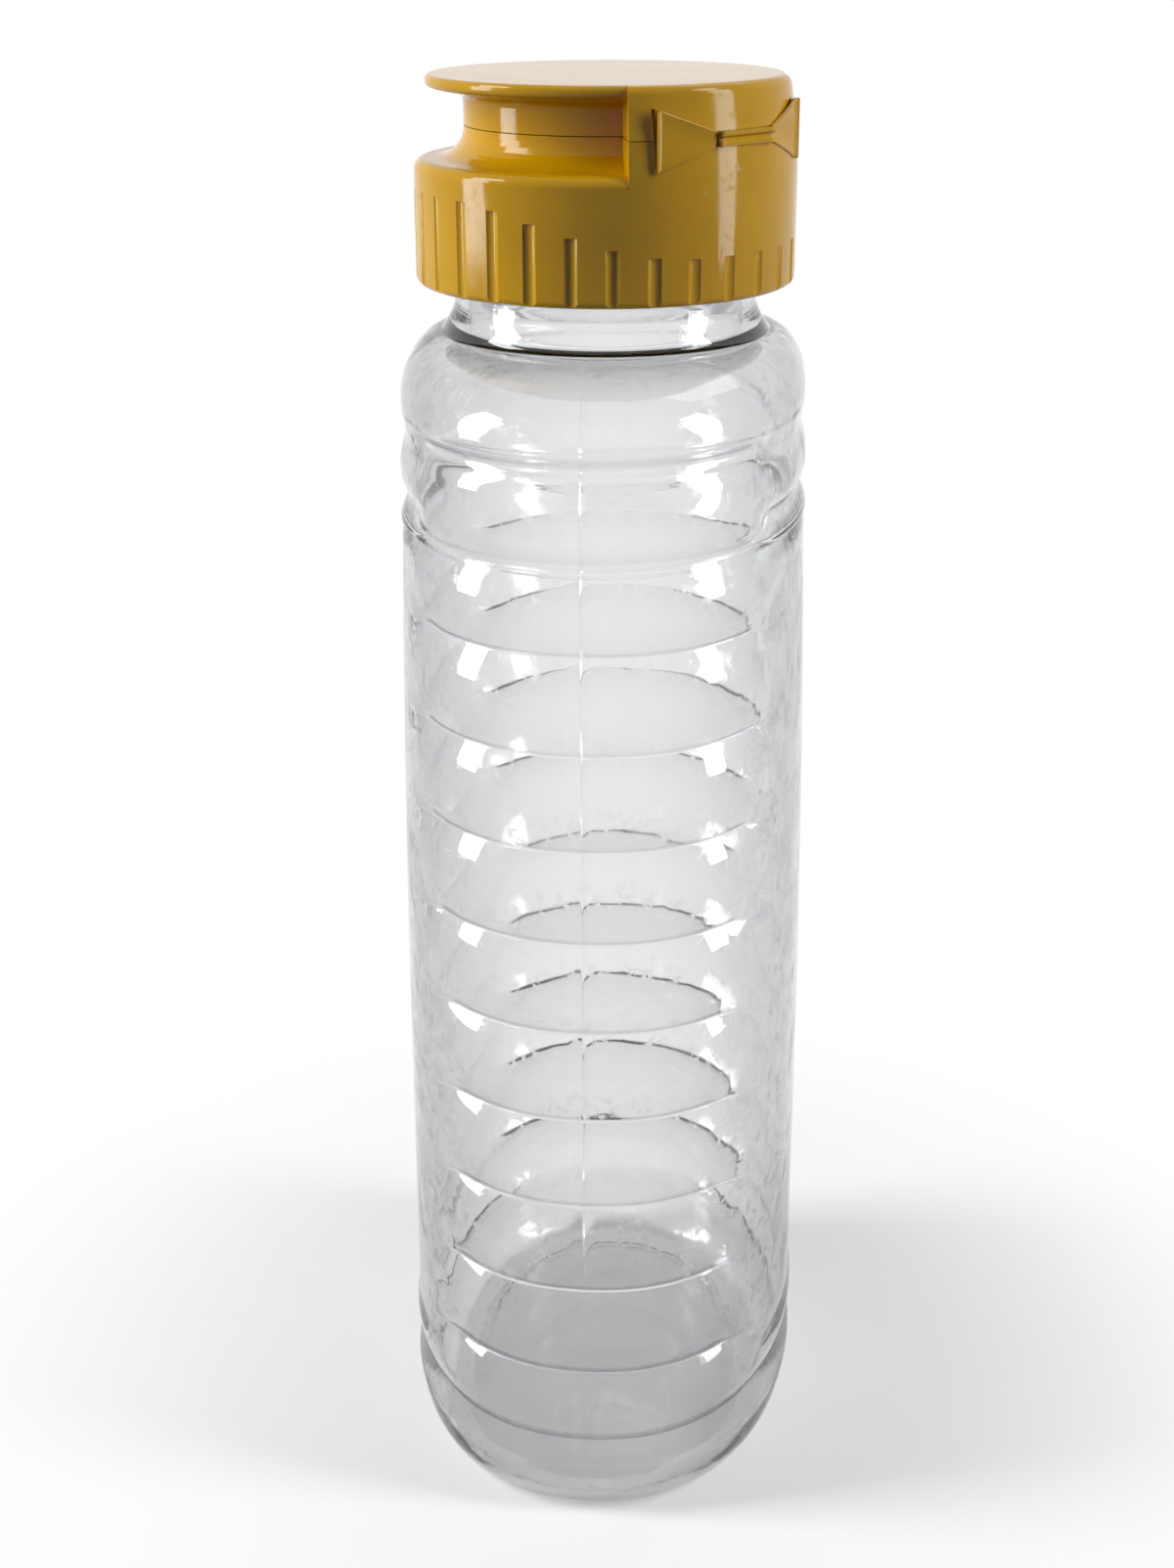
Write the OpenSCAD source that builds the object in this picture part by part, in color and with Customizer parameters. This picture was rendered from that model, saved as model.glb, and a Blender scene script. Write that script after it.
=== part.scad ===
// Oval squeeze bottle for honey, with ribbed ends, two label panels and a screw-on snap-top closure.
// Millimetres. The origin is the middle of the standing ring, +Z up.
// X runs across the label panels, Y from one ribbed end to the other.

/* [Bottle body] */
// Height of the bottle from its standing ring to the rim of its neck
bottle_h = 162; // [145:0.5:200]
// Thickness of the body, from one label panel to the other
body_t = 50.8; // [45:0.1:62]
// Width of the body, from one ribbed end to the other
body_w = 68; // [58:0.5:84]
// Squareness of the body's oval section, 2 for an ellipse
body_squareness = 2.2; // [2:0.05:3]
// Wall of the body
body_wall = 0.7; // [0.5:0.05:1.2]
// How far each side draws in from the lower half up to the shoulder
shoulder_draw = 1.7; // [0:0.1:3]
// How far each ribbed end draws in at the waist
waist_depth = 1.5; // [0:0.1:4]
// Height of the middle of the waist
waist_z = 58; // [40:1:80]
// Height of the rounded shoulder, under the neck
shoulder_h = 6.7; // [5:0.1:12]
// Height of the rounded heel
heel_h = 9; // [5:0.5:14]
// How far the heel draws in at the standing ring
heel_inset = 4; // [2:0.1:6]
// Width of the flat standing ring
standing_ring_w = 2.6; // [1.5:0.1:4]
// Rise of the middle of the bottom
push_up_h = 3.2; // [1:0.1:6]

/* [Ribs and panels] */
// Number of full ribs between the two end ribs
rib_count = 8; // [4:1:10]
// Depth of the grooves between the ribs
rib_depth = 1.5; // [0.5:0.05:2]
// Roundness of the ribs, larger for flatter ribs with tighter grooves
rib_roundness = 2.1; // [1.8:0.1:4]
// Height of the top rib and of the bottom rib
end_rib_h = 9.9; // [6:0.1:12]
// Height of the groove above the heel
heel_groove_z = 10.8; // [10:0.1:16]
// Depth of the two wide rings under the shoulder
ring_depth = 1.3; // [0.5:0.05:2]
// Distance between the two wide rings
ring_gap = 10.9; // [8:0.1:14]
// Depth of the label panels
panel_depth = 0.3; // [0:0.05:1]
// Height of the lower edge of the label panels
panel_bottom_z = 17; // [14:0.5:40]
// Half the width of the label panels at their top
panel_top_half_w = 20.5; // [14:0.5:24]
// Half the width of the label panels at the waist
panel_low_half_w = 24.5; // [16:0.5:27]
// Corner radius of the label panels
panel_corner = 8; // [3:0.5:14]

/* [Neck finish] */
// Outer diameter of the neck under the thread
neck_d = 35.3; // [29:0.1:43]
// Wall of the neck
neck_wall = 1.65; // [1.2:0.05:2.2]
// Height of the neck from the shoulder to the rim
neck_h = 16.8; // [15:0.1:20]
// How far the thread stands out of the neck
thread_depth = 1; // [0.7:0.05:1.3]
// Rise of the thread in one turn
thread_pitch = 4.233; // [3.6:0.001:5.2]
// Turns of the thread
thread_turns = 1.25; // [1:0.05:1.35]
// Gap between the threads and the facing walls
thread_gap = 0.35; // [0.25:0.05:0.5]

/* [Closure] */
// Direction of the hinge, seen from above and counted from +X
hinge_azimuth = -41; // [-180:1:180]
// Wall of the threaded skirt
skirt_wall = 3; // [2.2:0.1:4]
// Height from the lower edge of the skirt to its deck
skirt_h = 14; // [13.5:0.1:17]
// Thickness of the deck
deck_t = 1.5; // [1.2:0.1:2]
// Height of the pedestal above the deck, up to the split
pedestal_h = 3.5; // [3:0.1:5]
// Radius of the pedestal and of the recessed wall of the lid
pedestal_r = 16.2; // [14:0.1:18]
// Number of grip grooves
grip_count = 30; // [20:1:36]
// Length of the grip grooves under the hinge
grip_short = 5.1; // [3:0.1:7]
// Length of the grip grooves on the thumb side
grip_long = 10.7; // [7:0.1:11.5]
// Radius of the pouring bore
pour_r = 3.2; // [3:0.05:4]
// Height of the spout above the split
spout_rise = 1.2; // [0.6:0.1:2]
// Thickness of the foam liner
liner_t = 1.2; // [0.8:0.1:2]

/* [Lid and hinge] */
// Height of the lid above the split
lid_h = 5.6; // [5:0.1:8]
// How far the lid's disc stays inside the skirt
lid_inset = 1.5; // [1:0.1:2.5]
// Thickness of the disc at its rim
lid_rim_t = 1.4; // [1:0.1:2]
// Half the angle that the hinge block covers
block_half_angle = 37.5; // [30:0.5:45]
// Angle from the hinge's middle to the narrow end of each wing
wing_start = 11.5; // [9:0.5:14]
// Angle from the hinge's middle to the wide end of each wing
wing_end = 30; // [24:0.5:34]
// Height of each wing at its wide end
wing_wide_h = 6.7; // [5:0.1:8]
// Height of each wing at its narrow end, and of the web between them
wing_narrow_h = 1.6; // [1:0.1:2.4]
// Gap between the lid and the parts it closes on
lid_gap = 0.1; // [0.05:0.05:0.3]

/* [Hidden] */
$fn = 96;

// Heights of the bottle
shoulder_top = bottle_h - neck_h;
shoulder_z = shoulder_top - shoulder_h;
upper_ring_z = shoulder_z - 3;
lower_ring_z = upper_ring_z - ring_gap;
panel_top_z = lower_ring_z - 2;
narrowing_z = 50;
rib_pitch = (lower_ring_z - heel_groove_z - 2 * end_rib_h) / rib_count;

// Radii of the neck and the closure
neck_r = neck_d / 2;
neck_bore_r = neck_r - neck_wall;
neck_foot_r = neck_r + 1.35;
thread_r = neck_r + thread_depth;
skirt_bore_r = thread_r + thread_gap;
closure_r = skirt_bore_r + skirt_wall;
cap_thread_r = neck_r + thread_gap + 0.05;

// Heights of the closure, from the lower edge of its skirt
split_z = skirt_h + pedestal_h;
lid_top_z = split_z + lid_h;
deck_under_z = skirt_h - deck_t;
closure_z = bottle_h + liner_t - deck_under_z;

// Heights of the threads, and their widths at the root and at the crest
thread_top_drop = 2;
thread_start_z = bottle_h - thread_top_drop - thread_turns * thread_pitch;
thread_seat = 0.3;
thread_root_w = 2.2;
thread_crest_w = 1.2;
cap_thread_root_w = 1.9;
cap_thread_crest_w = 0.9;

// Facets of the body and steps of the threads
body_sides = 44;
thread_step = 12;
thread_fade = 36;
thread_sink = 0.3;

function mix(a, b, t) = a + (b - a) * t;
function smooth(t) = let (u = max(0, min(1, t))) u * u * (3 - 2 * u);
function dip(z, middle, spread) = exp(-pow((z - middle) / spread, 2));

// Body section: how full it is at a height, from 0 at the neck to 1 under the shoulder
function fullness(z) = z <= shoulder_z ? 1 : sqrt(max(0, 1 - pow((z - shoulder_z) / shoulder_h, 2)));
function heel_draw(z) = z >= heel_h ? 0 : heel_inset * (1 - sqrt(max(0, 1 - pow(1 - z / heel_h, 2))));
function waist_draw(z) = waist_depth * dip(z, waist_z, 34);
// How far the sides draw in towards the shoulder
function side_draw(z) =
    shoulder_draw * pow(max(0, min(z, shoulder_z) - narrowing_z) / (shoulder_z - narrowing_z), 2);
function half_t(z) = mix(neck_foot_r, body_t / 2 - side_draw(z), fullness(z)) - heel_draw(z);
function half_w(z) = mix(neck_foot_r, body_w / 2, fullness(z)) - heel_draw(z) - waist_draw(z);
function squareness(z) = mix(2, body_squareness, fullness(z));

// Half the width of a label panel at a height, with round corners
function panel_corner_cut(rise) = rise >= panel_corner ? 0
    : panel_corner - sqrt(max(0, pow(panel_corner, 2) - pow(panel_corner - max(rise, 0), 2)));
function panel_half(z) =
    mix(panel_low_half_w, panel_top_half_w, smooth((z - waist_z) / 45))
    - panel_corner_cut(z - panel_bottom_z) - panel_corner_cut(panel_top_z - z);

// A level of the body: its height, how deep its ends and its sides lie, and where the ends give way
upper_ring_spread = 1.6;
lower_ring_spread = 1.9;
side_ring_drop = 0.8;
side_ring_rise = 2.6;
side_upper_share = 0.5;
function ring_end_depth(z) =
    ring_depth * (dip(z, upper_ring_z, upper_ring_spread) + dip(z, lower_ring_z, lower_ring_spread));
function ring_side_depth(z) =
    ring_depth * side_upper_share * dip(z, upper_ring_z - side_ring_drop, lower_ring_spread)
    + ring_depth * dip(z, lower_ring_z + side_ring_rise, upper_ring_spread);
function plain_level(z) = [z, 0, 0, panel_top_half_w];
function ring_level(z) = [z, ring_end_depth(z), ring_side_depth(z), panel_top_half_w];
function rib_level(z, u) = [
    z,
    rib_depth * pow(abs(u), rib_roundness),
    z > panel_bottom_z && z < panel_top_z ? panel_depth : rib_depth * pow(abs(u), rib_roundness),
    panel_half(z)
];
function rib_bottom(k) = k == 0 ? heel_groove_z : heel_groove_z + end_rib_h + (k - 1) * rib_pitch;
function rib_top(k) = k > rib_count ? lower_ring_z : heel_groove_z + end_rib_h + k * rib_pitch;
function rib_levels(steps) = [
    for (k = [0 : rib_count + 1], i = [0 : steps - 1])
        let (u = 2 * i / steps - 1, z = mix(rib_bottom(k), rib_top(k), (u + 1) / 2)) rib_level(z, u)
];
function heel_levels(steps) = [for (i = [0 : steps - 1]) plain_level(heel_h * (1 - cos(90 * i / steps)))];
function ring_levels(steps) = [
    for (i = [0 : steps - 1]) ring_level(mix(lower_ring_z, shoulder_z, i / steps))
];
function shoulder_levels(steps) = [
    for (i = [0 : steps]) plain_level(shoulder_z + shoulder_h * sin(90 * i / steps))
];

// Points round the body at a level, drawn in along the section's own normal
function body_ring(level, inset, lift) = let (
    z = level[0], a = half_t(z), b = half_w(z), n = squareness(z)
) [
    for (i = [0 : body_sides - 1]) let (
        angle = 360 * (i + 0.5) / body_sides,
        c = cos(angle),
        s = sin(angle),
        x = a * sign(c) * pow(abs(c), 2 / n),
        y = b * sign(s) * pow(abs(s), 2 / n),
        gx = sign(x) * pow(abs(x) / a, n - 1) / a,
        gy = sign(y) * pow(abs(y) / b, n - 1) / b,
        side = smooth((level[3] - abs(y)) / 5 + 0.5),
        depth = (mix(level[1], level[2], side) + inset) / norm([gx, gy])
    ) [x - gx * depth, y - gy * depth, z + lift]
];
function scaled_ring(ring, share, z) = [for (p = ring) [p[0] * share, p[1] * share, z]];
function round_ring(r, z) = [
    for (i = [0 : body_sides - 1])
        let (angle = 360 * (i + 0.5) / body_sides) [r * cos(angle), r * sin(angle), z]
];

// Bottom of the bottle: a flat standing ring round a shallow dome
foot_ring = body_ring(plain_level(0), 0, 0);
floor_ring = body_ring(plain_level(0), standing_ring_w, 0);
dome_shares = [0.3, 0.55, 0.8];
function dome_z(share) = push_up_h * sqrt(max(0, 1 - share * share));

outer_rings = concat(
    [for (share = dome_shares) scaled_ring(floor_ring, share, dome_z(share))],
    [floor_ring],
    [for (level = heel_levels(5)) body_ring(level, 0, 0)],
    [for (level = rib_levels(4)) body_ring(level, 0, 0)],
    [for (level = ring_levels(9)) body_ring(level, 0, 0)],
    [for (level = shoulder_levels(6)) body_ring(level, 0, 0)]
);
inner_rings = concat(
    [for (level = heel_levels(3)) body_ring(level, body_wall, body_wall)],
    [for (level = rib_levels(2)) body_ring(level, body_wall, 0)],
    [for (level = ring_levels(6)) body_ring(level, body_wall, 0)],
    [for (level = shoulder_levels(4)) body_ring(level, body_wall, -body_wall)],
    [round_ring(neck_bore_r + 0.2, shoulder_top)]
);
inner_floor_rings = [
    for (i = [len(dome_shares) - 1 : -1 : 0])
        scaled_ring(floor_ring, dome_shares[i], dome_z(dome_shares[i]) + body_wall)
];

// Surface through rings of points, closed by a point at each end
module ring_solid(first_point, rings, last_point) {
    sides = len(rings[0]);
    points = concat([first_point], [for (ring = rings, p = ring) p], [last_point]);
    last = len(points) - 1;
    function at(r, i) = 1 + r * sides + i % sides;
    faces = concat(
        [for (i = [0 : sides - 1]) [0, at(0, i), at(0, i + 1)]],
        [for (r = [0 : len(rings) - 2], i = [0 : sides - 1]) [at(r, i), at(r + 1, i), at(r + 1, i + 1)]],
        [for (r = [0 : len(rings) - 2], i = [0 : sides - 1]) [at(r, i), at(r + 1, i + 1), at(r, i + 1)]],
        [for (i = [0 : sides - 1]) [at(len(rings) - 1, i), last, at(len(rings) - 1, i + 1)]]
    );
    polyhedron(points, faces, convexity = 10);
}

// Helical ridge from the radius of its root to the radius of its crest, fading at both ends
module thread_ridge(root_r, crest_r, start_z, root_w, crest_w) {
    steps = ceil(360 * thread_turns / thread_step);
    total = steps * thread_step;
    function fade(angle) = smooth(min(angle, total - angle) / thread_fade);
    function corner(angle, r, dz) = [
        r * cos(angle), r * sin(angle), start_z + thread_pitch * thread_turns * angle / total + dz
    ];
    function section(angle) = let (
        grown = fade(angle),
        crest = mix(root_r + (crest_r > root_r ? 0.1 : -0.1), crest_r, grown),
        rw = mix(crest_w, root_w, grown) / 2,
        cw = crest_w / 2
    ) [
        corner(angle, root_r, -rw), corner(angle, crest, -cw),
        corner(angle, crest, cw), corner(angle, root_r, rw)
    ];
    points = [for (i = [0 : steps], p = section(i * thread_step)) p];
    turn = crest_r > root_r ? [0, 1, 2, 3] : [3, 2, 1, 0];
    function quad(i, k) = let (a = 4 * i + turn[k], b = 4 * i + turn[(k + 1) % 4])
        [[a, b, b + 4], [a, b + 4, a + 4]];
    end = 4 * steps;
    faces = concat(
        [for (i = [0 : steps - 1], k = [0 : 3], f = quad(i, k)) f],
        [[for (k = [3 : -1 : 0]) turn[k]], [for (k = [0 : 3]) end + turn[k]]]
    );
    polyhedron(points, faces, convexity = 6);
}

// Neck: a bored tube with a flared foot and a round-edged rim
module neck() {
    edge = 0.35;
    rotate_extrude() polygon([
        [neck_bore_r, shoulder_top],
        [neck_foot_r - 0.1, shoulder_top],
        [neck_foot_r - 0.1, shoulder_top + 0.6],
        [neck_r + 0.65, shoulder_top + 1.6],
        [neck_r + 0.15, shoulder_top + 2.4],
        [neck_r, shoulder_top + 3.2],
        [neck_r, bottle_h - edge],
        [neck_r - edge, bottle_h],
        [neck_bore_r + edge, bottle_h],
        [neck_bore_r, bottle_h - edge]
    ]);
}

module bottle() {
    inner_down = [for (i = [len(inner_rings) - 1 : -1 : 0]) inner_rings[i]];
    color([0.88, 0.9, 0.92, 0.4]) union() {
        ring_solid(
            [0, 0, push_up_h],
            concat(outer_rings, inner_down, inner_floor_rings),
            [0, 0, push_up_h + body_wall]
        );
        neck();
        thread_ridge(neck_r - thread_sink, thread_r, thread_start_z, thread_root_w, thread_crest_w);
    }
}

module sealing_liner() {
    outer_r = skirt_bore_r - 0.4;
    inner_r = neck_bore_r - 2;
    color([0.93, 0.92, 0.88]) translate([0, 0, bottle_h]) difference() {
        cylinder(h = liner_t, r = outer_r);
        translate([0, 0, -1]) cylinder(h = liner_t + 2, r = inner_r);
    }
}

// Places closure parts, which are drawn with the skirt's lower edge at z = 0 and the hinge at +X
module closure_frame() {
    translate([0, 0, closure_z]) rotate([0, 0, hinge_azimuth]) children();
}

// Points of a round corner between two directions, for profiles in radius and height
function arc(middle, r, from, to, steps) = [
    for (i = [0 : steps]) let (angle = mix(from, to, i / steps)) middle + r * [cos(angle), sin(angle)]
];

seat_ring_r = 14.6;
seat_ring_wall = 1.3;
seat_ring_top = split_z + 1.4;
spout_top = split_z + spout_rise;
spout_wall = 1.2;
flare_r = 3.4;
deck_edge_r = 1.3;
skirt_edge_r = 0.8;

module base_profile() {
    polygon(concat(
        [[skirt_bore_r, 0.6], [skirt_bore_r + 0.6, 0]],
        arc([closure_r - skirt_edge_r, skirt_edge_r], skirt_edge_r, -90, 0, 6),
        arc([closure_r - deck_edge_r, skirt_h - deck_edge_r], deck_edge_r, 0, 90, 8),
        [for (i = [0 : 8]) let (angle = 270 - 90 * i / 8)
            [pedestal_r + flare_r * (1 + cos(angle)), split_z + pedestal_h * sin(angle)]],
        [
            [pedestal_r, split_z],
            [seat_ring_r, split_z],
            [seat_ring_r, split_z + 0.5],
            [seat_ring_r + 0.12, split_z + 0.8],
            [seat_ring_r, split_z + 1.1],
            [seat_ring_r - 0.3, seat_ring_top],
            [seat_ring_r - seat_ring_wall, seat_ring_top],
            [seat_ring_r - seat_ring_wall, skirt_h],
            [pour_r + spout_wall + 1.2, skirt_h],
            [pour_r + spout_wall, skirt_h + 1.4],
            [pour_r + spout_wall, spout_top - 0.5],
            [pour_r + spout_wall - 0.5, spout_top],
            [pour_r + 0.25, spout_top],
            [pour_r, spout_top - 0.25],
            [pour_r, deck_under_z],
            [skirt_bore_r, deck_under_z]
        ]
    ));
}

// Length of the grip grooves: short under the hinge, long on the thumb side
function grip_length(angle) =
    mix(grip_short, grip_long, smooth((abs(angle) - grip_plain_angle) / grip_change_angle));
grip_r = 1.2;
grip_out = 0.92;
grip_plain_angle = 20;
grip_change_angle = 74;
module grip_grooves() {
    for (i = [0 : grip_count - 1]) {
        angle = 360 * (i + 0.5) / grip_count;
        from_hinge = angle > 180 ? angle - 360 : angle;
        rotate([0, 0, angle])
            translate([closure_r + grip_out, 0, -1])
                cylinder(h = grip_length(from_hinge) + 1, r = grip_r, $fn = 24);
    }
}

// Sector of a ring-shaped profile, centred on the hinge direction
module sector(half_angle) {
    rotate([0, 0, -half_angle]) rotate_extrude(angle = 2 * half_angle) children();
}

block_inner_r = pedestal_r - 0.8;
block_wall = 1.6;
block_pocket_half_angle = block_half_angle - 4.5;
block_split_r = closure_r - 0.2;

module block_base_profile() {
    polygon([
        [block_inner_r, skirt_h - 0.8],
        [closure_r, skirt_h - deck_edge_r - 0.4],
        [closure_r, skirt_h],
        [block_split_r, split_z],
        [block_inner_r, split_z]
    ]);
}

module pocket_profile(bottom, top) {
    outer = block_split_r - block_wall - 0.6;
    polygon([[pedestal_r + 1.4, bottom], [outer, bottom], [outer, top], [pedestal_r + 1.4, top]]);
}

// Outline of one wing, seen along the hinge's radius, for side = 1 or -1
wing_near = closure_r * sin(wing_start);
wing_far = closure_r * sin(wing_end);
module wing_outline(side) {
    polygon([
        [side * wing_near, split_z - wing_narrow_h / 2],
        [side * wing_far, split_z - wing_wide_h / 2],
        [side * wing_far, split_z + wing_wide_h / 2],
        [side * wing_near, split_z + wing_narrow_h / 2]
    ]);
}

// Extrudes an outline in Y and Z along X, from one distance to another
module along_x(from, to) {
    translate([from, 0, 0]) rotate([90, 0, 90]) linear_extrude(height = to - from) children();
}

wing_slot_depth = 1.3;
web_slot_depth = 0.9;
hinge_axis_r = closure_r + 0.15;

// Space for the wings and the web in the faces of both hinge blocks
module hinge_slots() {
    reach = closure_r + 4;
    for (side = [-1, 1]) difference() {
        along_x(closure_r * cos(wing_end) - 3, reach) wing_outline(side);
        cylinder(h = lid_top_z + 2, r = closure_r - wing_slot_depth);
    }
    translate([closure_r - web_slot_depth, -wing_near, split_z - wing_narrow_h / 2])
        cube([web_slot_depth + 4, 2 * wing_near, wing_narrow_h]);
}

module cap_base() {
    color([0.83, 0.65, 0.13]) closure_frame() union() {
        difference() {
            union() {
                rotate_extrude() base_profile();
                sector(block_half_angle) block_base_profile();
            }
            sector(block_pocket_half_angle) pocket_profile(skirt_h + 1, split_z + 1);
            hinge_slots();
            grip_grooves();
        }
        translate([0, 0, thread_start_z - closure_z - thread_pitch / 2 + thread_seat])
            rotate([0, 0, -hinge_azimuth]) thread_ridge(
                skirt_bore_r + thread_sink, cap_thread_r, 0, cap_thread_root_w, cap_thread_crest_w
            );
    }
}

lid_wall_inner_r = seat_ring_r + 0.3;
lid_r = closure_r - lid_inset;
lid_under_z = lid_top_z - 1.8;
plug_r = pour_r - lid_gap;
plug_wall = 1;
plug_tip_z = split_z - 0.9;
lid_edge_r = 0.6;
lid_bottom_z = split_z + lid_gap;

module lid_profile() {
    polygon(concat(
        [
            [0, lid_under_z],
            [plug_r - plug_wall, lid_under_z],
            [plug_r - plug_wall, plug_tip_z],
            [plug_r - 0.4, plug_tip_z],
            [plug_r, plug_tip_z + 0.5],
            [plug_r, lid_under_z],
            [lid_wall_inner_r, lid_under_z],
            [lid_wall_inner_r, lid_bottom_z],
            [pedestal_r, lid_bottom_z],
            [pedestal_r, lid_top_z - 2.9]
        ],
        arc([pedestal_r + 0.8, lid_top_z - 2.9], 0.8, 180, 100, 5),
        arc([lid_r - lid_edge_r, lid_top_z - lid_rim_t + lid_edge_r], lid_edge_r, -80, 0, 4),
        arc([lid_r - lid_edge_r, lid_top_z - lid_edge_r], lid_edge_r, 0, 90, 5),
        [[0, lid_top_z]]
    ));
}

module block_lid_profile() {
    polygon(concat(
        [[block_inner_r, lid_bottom_z], [block_split_r, lid_bottom_z]],
        arc([lid_r - 0.5, lid_top_z - 1.1], 1.1, 10, 90, 6),
        [[block_inner_r, lid_top_z]]
    ));
}

module lid() {
    color([0.83, 0.65, 0.13]) closure_frame() difference() {
        union() {
            rotate_extrude() lid_profile();
            sector(block_half_angle) block_lid_profile();
        }
        sector(block_pocket_half_angle) pocket_profile(split_z - 1, lid_under_z - 0.6);
        hinge_slots();
    }
}

web_t = 0.45;
module hinge_web() {
    color([0.86, 0.68, 0.16]) closure_frame()
        translate([hinge_axis_r - web_t, -wing_near, split_z - wing_narrow_h / 2])
            cube([web_t, 2 * wing_near, wing_narrow_h]);
}

// One wing: a thin curved plate with a proud, rounded lip at its wide end
wing_t = 0.5;
lip_r = 0.4;
lip_inset = 0.1;
module hinge_wing(side) {
    lip_angle = wing_end - 2.2;
    lip_h = wing_wide_h - 1;
    color([0.85, 0.67, 0.15]) closure_frame() union() {
        intersection() {
            along_x(closure_r * cos(wing_end) - 3, closure_r + 4) wing_outline(side);
            difference() {
                cylinder(h = lid_top_z + 2, r = closure_r + 0.1);
                translate([0, 0, -1]) cylinder(h = lid_top_z + 4, r = closure_r + 0.1 - wing_t);
            }
        }
        rotate([0, 0, side * lip_angle]) translate([closure_r - lip_inset, 0, split_z - lip_h / 2])
            cylinder(h = lip_h, r = lip_r, $fn = 24);
    }
}

bottle();
sealing_liner();
cap_base();
lid();
hinge_web();
hinge_wing(-1);  // hinge_wing_left
hinge_wing(1);  // hinge_wing_right
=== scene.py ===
import math

import bpy
from bpy.props import FloatProperty, FloatVectorProperty, PointerProperty
from bpy.types import Operator, Panel, PropertyGroup
from mathutils import Matrix, Vector


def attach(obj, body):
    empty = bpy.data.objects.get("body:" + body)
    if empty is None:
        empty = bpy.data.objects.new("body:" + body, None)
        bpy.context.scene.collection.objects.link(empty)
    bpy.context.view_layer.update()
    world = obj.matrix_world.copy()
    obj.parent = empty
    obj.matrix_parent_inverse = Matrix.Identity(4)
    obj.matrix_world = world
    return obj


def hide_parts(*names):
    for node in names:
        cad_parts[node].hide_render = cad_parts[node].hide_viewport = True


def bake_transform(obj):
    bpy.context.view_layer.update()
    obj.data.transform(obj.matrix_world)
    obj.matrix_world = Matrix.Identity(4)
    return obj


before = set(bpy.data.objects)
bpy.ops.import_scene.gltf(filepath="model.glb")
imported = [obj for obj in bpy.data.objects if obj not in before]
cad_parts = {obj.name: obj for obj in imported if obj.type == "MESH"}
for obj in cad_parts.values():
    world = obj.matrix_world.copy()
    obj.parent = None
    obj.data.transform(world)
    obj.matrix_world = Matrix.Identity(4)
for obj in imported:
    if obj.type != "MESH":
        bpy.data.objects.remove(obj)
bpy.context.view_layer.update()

bl_info = {
    "name": "Honey squeeze bottle",
    "version": (1, 0, 0),
    "blender": (4, 5, 0),
    "location": "View3D > Sidebar > Honey bottle",
    "description": "Models a clear oval squeeze bottle with a snap-top closure",
    "category": "Add Mesh",
}

# Form of the bottle's body, in metres
SHOULDER_RISE = 0.0067
HEEL_HEIGHT = 0.009
HEEL_INSET = 0.004
STANDING_RING = 0.0026
PUSH_UP = 0.0032
WAIST_HEIGHT = 0.058
WAIST_SPREAD = 0.034
NARROWING_START = 0.05
ROUND_SECTION = 2.0
OVAL_SECTION = 2.2

# Ribs and rings; a side ring has its depth, its height over the end's ring, and its spread
RIB_COUNT = 8
RIB_ROUNDNESS = 2.1
END_RIB = 0.0099
HEEL_GROOVE = 0.0108
UPPER_RING_DROP = 0.003
RING_GAP = 0.0109
RING_DEPTH = 0.0013
UPPER_RING_SPREAD = 0.0014
LOWER_RING_SPREAD = 0.0018
UPPER_SIDE_RING = (0.0006, -0.0008, 0.002)
LOWER_SIDE_RING = (0.0012, 0.0026, 0.0017)

# Label panels and parting line
PANEL_BOTTOM = 0.017
PANEL_TOP_DROP = 0.002
PANEL_TOP_HALF = 0.0205
PANEL_LOW_HALF = 0.0245
PANEL_TAPER = 0.045
PANEL_CORNER = 0.008
PANEL_EDGE = 0.004
SEAM_HALF = 0.0004
SEAM_TURNS = (-0.65, -0.22, 0.22, 0.65)

# Neck: each point of its flare has its distance outside the neck and its height over the shoulder
NECK_RISE = 0.0168
NECK_FOOT_EXTRA = 0.00135
NECK_FLARE = ((NECK_FOOT_EXTRA, 0.0), (0.00125, 0.0006), (0.0007, 0.0014), (0.0002, 0.0024))
NECK_STRAIGHT_FROM = 0.0032
NECK_INNER_EDGE = 0.0004
RIM_ROUND = 0.00035
RIM_SOFTENING = 0.0001

# Thread of the neck
THREAD_TURNS = 1.25
THREAD_TOP_DROP = 0.002
THREAD_DEPTH = 0.001
THREAD_FADE = 0.1
THREAD_HALF = 0.00115
THREAD_FLANK = 0.0006

# How many levels and columns each stretch of the surface has
COLUMNS = 120
DOME_STEPS, INNER_DOME_STEPS = 10, 8
HEEL_STEPS, INNER_HEEL_STEPS = 12, 8
RIB_STEPS, INNER_RIB_STEPS = 13, 9
RING_STEPS, INNER_RING_STEPS = 38, 26
SHOULDER_STEPS, INNER_SHOULDER_STEPS = 14, 10
NECK_STEPS, BORE_STEPS = 52, 4

# Hinge of the closure
SPLIT_HEIGHT = 0.1682
STRAP_LIFT = 0.0001
HINGE_LIFT = 0.00015
WING_CELLS = (40, 22)
WING_FLAT_SHARE = 0.86
WING_TIP_HALF = 0.0008
WING_FLARE = 1.1
WING_HOLLOW = 0.00025
WING_END_SHRINK = 0.06
LIP_BULGE = 0.0003
LIP_TUCK = 0.0009
LIP_TURN = 0.012
WEB_CELLS = (12, 24)
WEB_HALF = 0.0008
WEB_GROOVE = 0.00022
WEB_GROOVE_SPREAD = 0.22
WEB_LEDGE = 0.0002
WEB_LEDGE_START = 0.25
WEB_LEDGE_RAMP = 0.2

# Fixed colours of wear and of the liner's cells
SCUFFED_WALL = (0.7, 0.7, 0.7)
RUBBED_YELLOW = (0.4, 0.24, 0.03)
LINER_CELLS = (0.7, 0.68, 0.62)

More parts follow.
